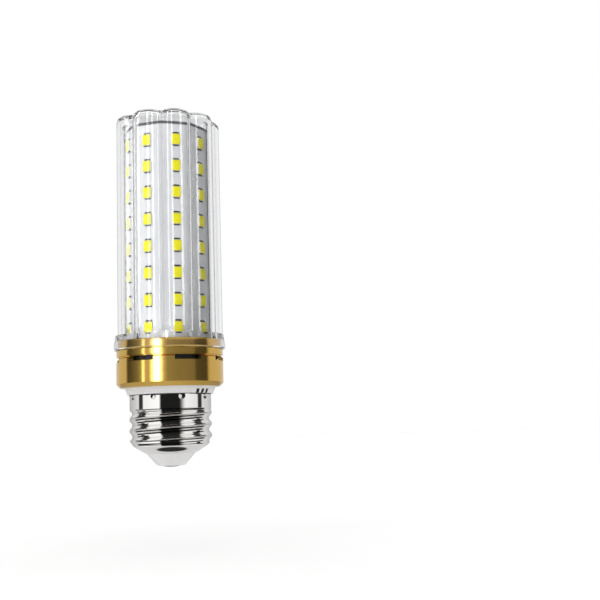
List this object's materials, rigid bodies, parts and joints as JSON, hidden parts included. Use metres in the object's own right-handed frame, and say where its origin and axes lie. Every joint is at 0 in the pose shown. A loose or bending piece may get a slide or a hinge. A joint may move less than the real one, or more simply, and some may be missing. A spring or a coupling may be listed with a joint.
{
  "type": "corn led bulb",
  "caption": "Corn style LED bulb: lamp columns on a folded board under a clear fluted cover, gold slotted ring, white collar and a 26 mm Edison screw cap.",
  "frame": {"origin": "tip of the centre contact, on the bulb's axis", "axes": "+Z along the bulb's axis, from the screw cap to the closed end of the cover; -Y is the side the picture shows"},
  "size_m": [0.0357, 0.0356, 0.1134],
  "materials": {
    "clear_plastic": "clear, polished",
    "gold_metal": "gold anodised, polished",
    "white_plastic": "white, moulded",
    "nickel": "nickel plated, polished",
    "white_board": "white solder mask",
    "dark_board": "dark laminate",
    "solder": "dull solder",
    "led_package": "white moulded package",
    "phosphor": "yellow phosphor resin",
    "black_plastic": "black, matt",
    "driver_board": "green laminate",
    "can_sleeve": "dark sleeved can",
    "red_resin": "dipped resin",
    "ferrite": "pressed ferrite",
    "copper": "enamelled copper wire",
    "green_coating": "coated resistor body",
    "black_wire": "insulated wire",
    "white_wire": "insulated wire",
    "red_wire": "insulated wire"
  },
  "bodies": {
    "root": {"clear_cover": "clear_plastic", "gold_ring": "gold_metal", "housing": "white_plastic", "tip_insulator": "white_plastic", "screw_shell": "nickel", "centre_contact": "nickel", "led_board": "white_board", "top_plate": "dark_board", "column_seat": "white_plastic", "solder_joints": "solder", "driver_sleeve": "black_plastic", "driver_board": "driver_board", "electrolytic_capacitor": "can_sleeve", "film_capacitor": "red_resin", "choke_core": "ferrite", "choke_winding": "copper", "bridge_rectifier": "black_plastic", "driver_chip": "black_plastic", "fuse_resistor": "green_coating", "live_wire": "black_wire", "neutral_wire": "white_wire", "lamp_wire_positive": "red_wire", "lamp_wire_negative": "black_wire", "led_bodies_1": "led_package", "led_bodies_2": "led_package", "led_bodies_3": "led_package", "led_bodies_4": "led_package", "led_bodies_5": "led_package", "led_bodies_6": "led_package", "led_bodies_7": "led_package", "led_bodies_8": "led_package", "led_bodies_9": "led_package", "led_phosphors_1": "phosphor", "led_phosphors_2": "phosphor", "led_phosphors_3": "phosphor", "led_phosphors_4": "phosphor", "led_phosphors_5": "phosphor", "led_phosphors_6": "phosphor", "led_phosphors_7": "phosphor", "led_phosphors_8": "phosphor", "led_phosphors_9": "phosphor"}
  },
  "joints": []
}
